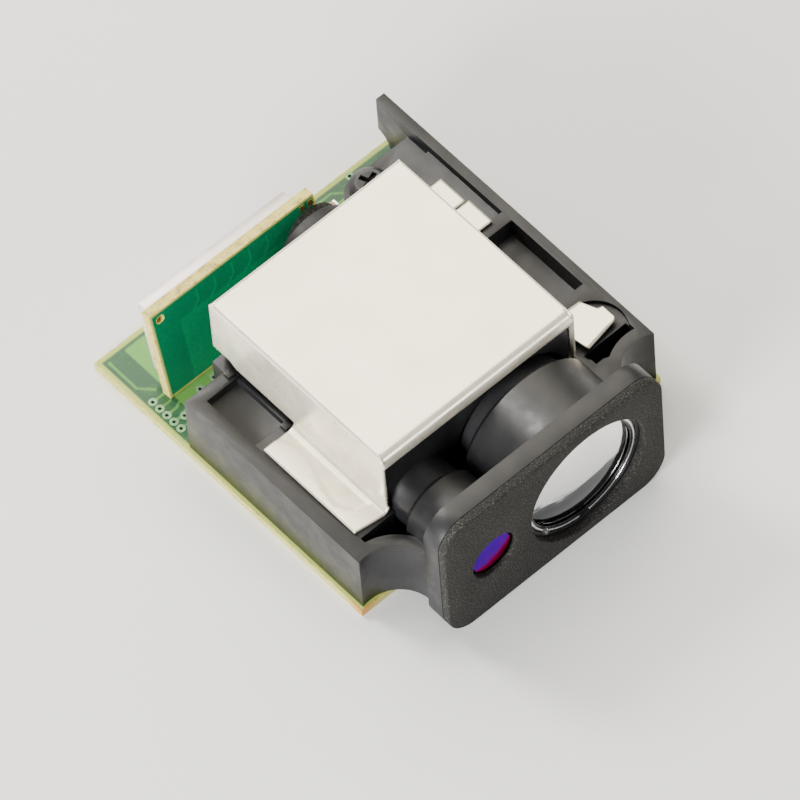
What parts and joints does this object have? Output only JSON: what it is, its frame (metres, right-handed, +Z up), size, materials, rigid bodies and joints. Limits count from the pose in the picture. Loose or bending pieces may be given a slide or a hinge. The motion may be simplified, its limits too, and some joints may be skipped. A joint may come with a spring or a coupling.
{
  "type": "laser distance sensor module",
  "caption": "Bare optical distance sensor module: circuit board, black optical bench with receiver lens and laser, and a sheet-metal shield cover.",
  "frame": {"origin": "bottom centre of the bounding box, on the underside of the main board", "axes": "+Z up from the board, -Y along the laser beam, +X across the beam towards the receiver lens side"},
  "size_m": [0.0396, 0.048, 0.018],
  "materials": {
    "board_laminate": "green solder mask over glass-fibre laminate",
    "sensor_laminate": "emerald solder mask over glass-fibre laminate",
    "plated_copper": "tinned copper rings",
    "gold_pad": "gold-plated pads",
    "solder": "bright solder",
    "nut_brass": "turned brass",
    "screw_black": "black oxide steel",
    "bench_plastic": "glass-filled black moulding, fine matt grain",
    "gasket_foam": "closed-cell foam, speckled",
    "lens_glass": "clear coated lens",
    "ring_black": "black anodised ring",
    "spring_steel": "spring wire",
    "cone_plastic": "deep matt black moulding",
    "filter_glass": "deep red band-pass glass",
    "chip_epoxy": "black moulding compound",
    "diode_window": "detector window",
    "can_tin": "dull tinplate",
    "cover_tin": "bright tinplate, satin top",
    "collimator_coated": "lens with a blue-violet and red anti-reflection coating",
    "diode_gold": "gold-plated can",
    "holder_brass": "turned brass",
    "pin_tin": "tinned lead frame",
    "ferrite": "sintered ferrite",
    "capacitor_ceramic": "tan ceramic",
    "resistor_black": "black glazed chip"
  },
  "bodies": {
    "module": {"main_board": "board_laminate", "wire_eyelets": "plated_copper", "via_rings": "plated_copper", "board_nuts": "nut_brass", "bench_screws": "screw_black", "optical_bench": "bench_plastic", "front_gasket": "gasket_foam", "receiver_lens": "lens_glass", "lens_retainer": "ring_black", "lens_circlip": "spring_steel", "light_cone": "cone_plastic", "optical_filter": "filter_glass", "light_collar": "cone_plastic", "collar_seal": "gasket_foam", "sensor_board": "sensor_laminate", "photodiode": "chip_epoxy", "photodiode_window": "diode_window", "amplifier_chip": "chip_epoxy", "rear_can": "can_tin", "board_link_solder": "solder", "sensor_board_pads": "gold_pad", "laser_diode": "diode_gold", "laser_window": "diode_window", "laser_leads": "diode_gold", "laser_holder": "holder_brass", "processor_chip": "chip_epoxy", "processor_pins": "pin_tin", "driver_chip": "chip_epoxy", "crystal": "pin_tin", "inductor": "ferrite", "smd_capacitors": "capacitor_ceramic", "smd_resistors": "resistor_black", "capacitor_caps": "pin_tin"},
    "cover": {"shield_cover": "cover_tin"},
    "collimator": {"collimator_cell": "ring_black", "collimator_lens": "collimator_coated"}
  },
  "joints": [
    {"name": "cover_lift", "type": "slide", "parent": "module", "child": "cover", "axis": [0, 0, 1], "range_m": [0, 0.02]},
    {"name": "collimator_focus", "type": "slide", "parent": "module", "child": "collimator", "axis": [0, 1, 0], "range_m": [0, 0.0005]}
  ]
}
